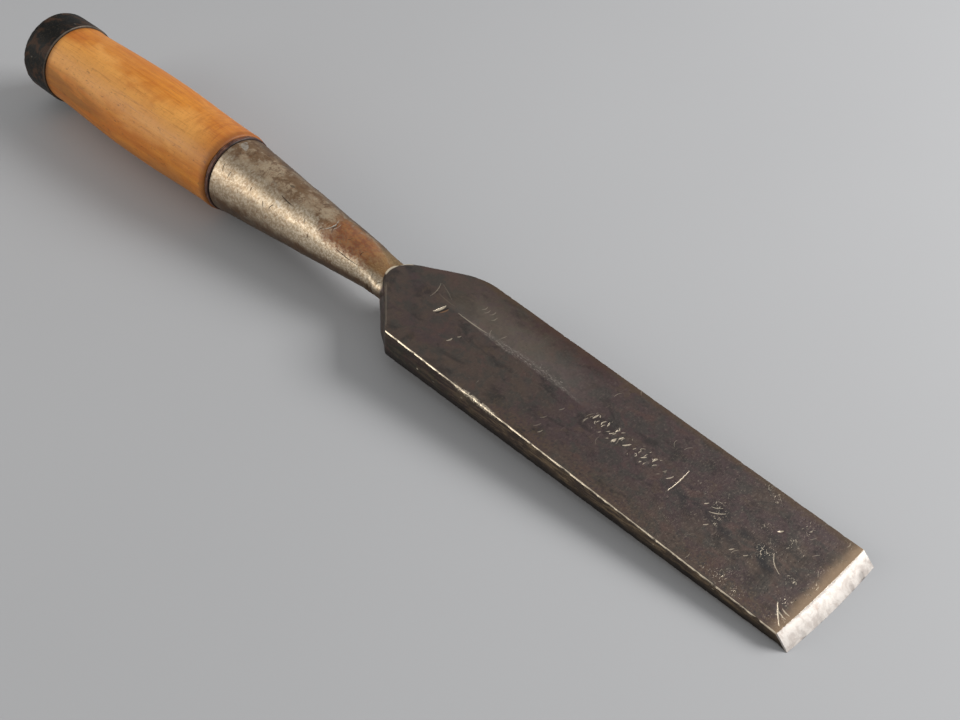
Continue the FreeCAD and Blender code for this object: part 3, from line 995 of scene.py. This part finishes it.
def steel_material():
    """Brown patina on the blade, worn socket, polished bevel and edges, with painted highlights, sheen and
    shade on them in places.
    """
    s = Shader("forged_steel")
    place = s.frame_point(BLADE_FRAME)
    x, y, z = s.parts(place)
    cloud, mottle, grain, fibre = patina(s, place, x, y)
    # the worn streak down the middle, with its painted sheen and glints
    rub_and_sheen = rubbed_streak_and_sheen(s, place, x, y, cloud)
    s.coat(rub_and_sheen, (150, 140, 130))
    pits = s.specks(place, 1.8, 0.3, 0.36, shift=2) * s.most(x.step(80, 30) * 0.9, 0.4)
    s.coat(pits * 0.75, (34, 29, 26))
    shaded_ding(s, x, y)

    # dings and scratches on the top face, the polished bevel and the worn edges; the dings and edges are
    # bright in part with painted highlight
    top_gap = BEVEL_THICKNESS + (x - BEVEL_LENGTH) * TOP_SLOPE - z
    marks = bright_marks(s, x, y, grain, mottle) * top_gap.step(1.2, 0.7)
    marks = marks * x.step(5.6, 6.2) * x.step(214, 210)
    camber = (1 - y * y / EDGE_HALF ** 2) * EDGE_CAMBER
    bevel = (x + camber * 0.6 + (grain - 0.5) * 0.35).step(BEVEL_LENGTH + 0.1, BEVEL_LENGTH - 0.15)
    bevel = bevel * ((x + camber) * (BEVEL_THICKNESS / BEVEL_LENGTH) - z).step(0.75, 0.35)
    ragged = s.noise(place, 2, 4, 0.65, shift=21) - 0.5
    from_nose = s.length(s.vector(x - NOSE_X, y - NOSE_Y))
    edges = bare_and_highlit_edges(s, place, (x, y, z), top_gap, from_nose, ragged, grain)
    side_walls(s, place, x, z, top_gap.step(0.5, 0.9) * x.step(222, 216), cloud, mottle)
    lapped = flat_back(s, x, z, cloud, mottle, fibre)
    bright = s.most(bevel, edges, marks, lapped * 0.8)
    on_blade = s.mix(bright, s.colour, ground_steel(s, place, bevel))

    # the socket starts behind the blade's round rear end
    socket_bare_and_highlit, rust, socket_height = socket_colours(s)
    on_socket = s.most(x.step(219, 220.5), top_gap.step(-0.25, -0.5) * x.step(205, 208),
                       from_nose.step(NOSE_ROUND + 0.1, NOSE_ROUND + 0.6) * x.step(213, 215))
    s.colour = s.mix(on_socket, on_blade, s.colour)
    bare = s.between(on_socket, bright, socket_bare_and_highlit)
    roughness = 0.5 - bare * (0.14 - on_socket * 0.09) + (grain - 0.5) * 0.28 + (mottle - 0.5) * 0.2
    roughness = roughness + rust * on_socket * 0.2 - rub_and_sheen * 0.1
    blade_relief = grain * 0.7 + mottle * 0.9 + fibre * 0.35 - pits * 1.2 - marks * 0.8
    height = s.between(on_socket, blade_relief * (1 - bevel * 0.6), socket_height)
    return s.finish(roughness, bare * 0.55 + 0.4, height, 0.06)


def wood_material():
    """Honey-coloured hardwood: growth rings cut lengthwise, pores, a soft sheen, painted light on the side
    nearest the lights, painted shade at the silhouettes, grime and pale specks partly painted as highlight
    spots.
    """
    s = Shader("handle_wood")
    place, x, _, angle = s.handle_point()
    _, y, z = s.parts(place)
    drift = s.noise(place, 38, 3, 0.5, 0, (4, 1, 1))
    away = s.vector(x * 0.012, y + 34 + (drift - 0.5) * 9, z * 1.25 - 14 + (drift - 0.5) * 5)
    rings = s.length(away)
    growth = s.math("SINE", rings * 2.6 + s.noise(place, 7, 3, 0.5, 0.3, (7, 1, 1), 3) * 6)
    late = growth.step(0.1, 0.98)
    fibre = s.noise(place, 0.85, 4, 0.65, 0.1, (18, 1, 1), 5)
    streak = s.noise(place, 4, 4, 0.6, 0.5, (12, 1, 1), 8)
    cloud = s.noise(place, 17, 4, 0.55, 0.8, (1.8, 1, 1), 13)
    figure = s.noise(place, 2.8, 3, 0.5, 0.6, (0.8, 3.5, 3.5), 17)
    tick = s.noise(place, 0.5, 2, 0.5, 0, (2.4, 1, 1), 37)

    s.colour = s.mix(streak.step(0.36, 0.64), (198, 115, 24), (216, 137, 40))
    s.coat(late * 0.28, (186, 106, 30))
    s.coat(cloud.step(0.5, 0.66) * 0.65, (214, 140, 56))
    s.coat(cloud.step(0.46, 0.34) * 0.6, (190, 102, 22))
    # painted light: a lighter peach band along the side nearest the lights
    painted_lit_band = (angle + (cloud - 0.5) * 1.2).band(0.62, 0.18, 0.5) * x.step(4, 22)
    s.coat(painted_lit_band * 0.62, (246, 178, 92))
    redder = (x + (cloud - 0.5) * 30).step(36, 4) * angle.step(1, 0.2)
    s.coat(redder * 0.4, (176, 92, 32))
    s.coat(fibre.step(0.52, 0.72) * 0.3, (230, 162, 70))
    s.coat(fibre.step(0.47, 0.3) * 0.4, (160, 90, 30))
    curl = x.step(44, 12) * angle.step(0.75, 0.2)
    s.coat(figure.step(0.4, 0.72) * (curl * 0.4 + 0.08), (156, 84, 30))
    s.coat(tick.step(0.56, 0.76) * 0.28, (140, 78, 26))
    lower = (angle + (streak - 0.5) * 0.8).step(0.35, 0.85)
    pores = s.specks(place, 1.5, 0.35, 0.22, (4.5, 1, 1), 6)
    s.coat(pores * (lower * 0.35 + 0.15), (96, 52, 20))
    soot = s.noise(place, 1.6, 4, 0.7, 0.4, (2.4, 1, 1), 41).step(0.58, 0.72)
    s.coat(soot * (lower * 0.55 + 0.12), (112, 62, 26))

    # a dark weathered streak low on the left, painted shade at both silhouettes, grime at both ends, small
    # stains and pale specks
    weather = (angle + (streak - 0.5) * 0.5).band(1.47, 0.14, 0.34) * x.step(60, 92)
    s.coat(weather * streak.step(0.3, 0.6) * 0.55, (106, 70, 36))
    # painted shade: darker towards both silhouettes of the grip
    side = s.most(angle.step(1.35, 1.9), angle.step(-0.7, -1.2))
    s.coat(side * cloud.step(0.35, 0.6) * 0.4, (140, 84, 38))
    near_end = x + (figure - 0.5) * 3
    grime = s.most(near_end.step(121, 125), near_end.step(7, 3.2))
    grime = grime * x.step(1.5, 2.6)
    s.coat(grime * (cloud * 0.5 + 0.25), (92, 50, 24))
    stains = s.specks(place, 7, 0.3, 0.7, (2.4, 1, 1), 19)
    s.coat(stains * 0.45, (112, 66, 32))
    # pale specks, which also stand in for small highlight spots
    flecks_and_glints = s.specks(place, 9, 0.25, 0.4, (1.6, 1, 1), 23)
    s.coat(flecks_and_glints * 0.6, (236, 196, 146))

    # end grain: darker, with mallet grime
    end = x.step(BUTT - 2, BUTT - 0.6)
    blotch = s.noise(place, 3.5, 5, 0.65, 0.5, shift=27)
    end_colour = s.mix(blotch.step(0.35, 0.65), (98, 66, 40), (160, 112, 66))
    end_rings = s.math("SINE", rings * 5.2).step(-0.2, 0.9)
    s.coat(end * 0.85, s.mix(end_rings * 0.4, end_colour, (82, 52, 30)))
    tenon = x.step(1, 0)
    s.coat(tenon * s.noise(place, 7, 4, 0.6, 0.6, (2, 1, 1), 29).step(0.42, 0.7) * 0.6, (100, 66, 38))

    roughness = 0.47 + (fibre - 0.5) * 0.25 + end * 0.2 + tenon * 0.15 + weather * 0.15 + grime * 0.1
    height = fibre * 0.8 + late * 0.35 - pores * 0.9 - stains * 0.3 + figure * 0.1
    return s.finish(roughness, 0, height, 0.05, specular=0.42)


def leather_material():
    """Old dark red-brown leather: wrinkled, waxed, lighter where rubbing has worn it, with a painted
    highlight along its outer crest and painted shade in the crevices at both faces.
    """
    s = Shader("leather")
    _, x, radius, angle = s.handle_point()
    along = s.vector(x, angle * 18, radius)
    wrinkle = s.noise(along, 0.9, 4, 0.6, 0.6, (0.6, 3, 1))
    cloud = s.noise(along, 6, 3, 0.5, 0.3, shift=3)
    s.colour = s.mix(cloud.step(0.35, 0.68), (60, 30, 20), (96, 56, 38))
    s.coat(wrinkle.step(0.55, 0.8) * 0.55, (136, 90, 66))
    # outer crest: lighter where worn, and in part a painted highlight along the rounded edge
    crest_rub_and_highlight = radius.step(WASHER_RADIUS - 0.35, WASHER_RADIUS - 0.02)
    s.coat(crest_rub_and_highlight * wrinkle.step(0.4, 0.62) * 0.45, (150, 118, 102))
    # painted shade: dark bands at both faces, in the crevices against the socket and the shoulder
    seam = s.most(x.step(WASHER_START + 0.5, WASHER_START + 0.1),
                  x.step(WASHER_END - 0.5, WASHER_END - 0.1))
    s.coat(seam * 0.8, (24, 15, 12))
    return s.finish(0.46 + (wrinkle - 0.5) * 0.3, 0, wrinkle, 0.12, specular=0.35)


def iron_material():
    """Blackened iron: brown where the black has gone, bare along the rim."""
    s = Shader("black_iron")
    place, x, radius, _ = s.handle_point()
    cloud = s.noise(place, 7.5, 4, 0.6, 0.9)
    grain = s.noise(place, 0.9, 4, 0.65, shift=5)
    s.colour = s.mix(cloud.step(0.42, 0.58), (15, 14, 12), (30, 24, 18))
    s.coat(cloud.step(0.5, 0.6) * 0.85, (66, 44, 30))
    s.coat(grain.step(0.52, 0.7) * 0.5, (74, 64, 50))
    s.coat(grain.step(0.45, 0.3) * 0.5, (12, 11, 10))
    ragged = (grain - 0.5) * 0.7
    rim = (x + ragged * 0.4).step(HOOP_START + 0.45, HOOP_START + 0.15)
    rim = rim * radius.step(HOOP_RADIUS - 1.2, HOOP_RADIUS - 0.6) * cloud.step(0.25, 0.5)
    butt_edge = (x + ragged).step(HOOP_END - 1.1, HOOP_END - 0.4) * cloud.step(0.35, 0.6) * 0.5
    scars = s.specks(place, 3.4, 0.2, 0.5, (2, 1, 1), 9)
    bare = s.most(rim * 0.6, butt_edge, scars * 0.5)
    s.coat(bare, (124, 116, 106))
    roughness = 0.5 - bare * 0.08 + (grain - 0.5) * 0.3 + (cloud - 0.5) * 0.2
    return s.finish(roughness, bare * 0.6 + 0.05, grain + cloud, 0.08, specular=0.14)


def table_material():
    """Plain pale grey surface with a faint satin sheen."""
    s = Shader("pale_surface")
    cloud = s.noise(s.object_point(), 0.35, 3, 0.5)
    s.colour = s.mix(cloud, (172, 172, 173), (180, 180, 181))
    return s.finish(0.6, 0, cloud, 0.02)


# -------- stage

CAMERA_PLACE = (-0.352, 0.295, 0.3753)
CAMERA_HEADING, CAMERA_DIP, CAMERA_ROLL = -45.715, 41.918, 0.881
CAMERA_LENS, SENSOR = 52.99, 36.0


def camera():
    """The photograph's viewpoint: from above the left of the cutting edge, looking up the tool."""
    heading, dip, roll = (math.radians(a) for a in (CAMERA_HEADING, CAMERA_DIP, CAMERA_ROLL))
    ahead = Vector((math.cos(heading), math.sin(heading), 0))
    forward = ahead * math.cos(dip) - Vector((0, 0, math.sin(dip)))
    level = Vector((math.sin(heading), -math.cos(heading), 0))
    upright = level.cross(forward)
    right = level * math.cos(roll) + upright * math.sin(roll)
    up = upright * math.cos(roll) - level * math.sin(roll)
    data = bpy.data.cameras.new("camera")
    data.lens, data.sensor_width = CAMERA_LENS, SENSOR
    data.clip_start, data.clip_end = 0.01, 20
    view = add_object("camera", data)
    view.matrix_world = Matrix((right, up, -forward)).transposed().to_4x4()
    view.location = CAMERA_PLACE
    bpy.context.scene.camera = view


def lamp(name, way, distance, size, glow, colour=(1, 1, 1)):
    """Soft rectangular light in that direction from the middle, as bright as glow to look at."""
    data = bpy.data.lights.new(name, "AREA")
    data.shape, data.size, data.size_y = "RECTANGLE", size[0], size[1]
    data.energy, data.color = glow * math.pi * size[0] * size[1], colour
    light = add_object(name, data)
    light.location = Vector(way).normalized() * distance
    light.rotation_euler = (-Vector(way)).to_track_quat("-Z", "Y").to_euler()


def studio():
    """Pale table, a key light on the right, a card for the bevel and a light on the left."""
    bpy.context.scene.view_settings.view_transform = "Standard"
    bpy.ops.mesh.primitive_grid_add(x_subdivisions=8, y_subdivisions=8, size=30)
    table = bpy.context.object
    table.name = "table"
    table.data.materials.append(table_material())
    lamp("key_light", (-0.52, -0.7, 0.6), 1.35, (0.75, 0.55), 12.5)
    lamp("bevel_card", (-0.78, -0.6, 0.3), 1.25, (0.8, 0.42), 1.45)
    lamp("left_light", (0.64, 0.72, 0.42), 1.15, (0.8, 0.5), 3.0, (1.0, 0.97, 0.92))
    world = bpy.data.worlds.new("world")
    world.use_nodes = True
    background = world.node_tree.nodes["Background"]
    background.inputs["Color"].default_value = (0.96, 0.98, 1.0, 1)
    background.inputs["Strength"].default_value = 0.4
    bpy.context.scene.world = world


PIECES = [
    (blade, steel_material),
    (handle, wood_material),
    (washer, leather_material),
    (hoop, iron_material),
]
for make, material in PIECES:
    make().data.materials.append(material())
camera()
studio()
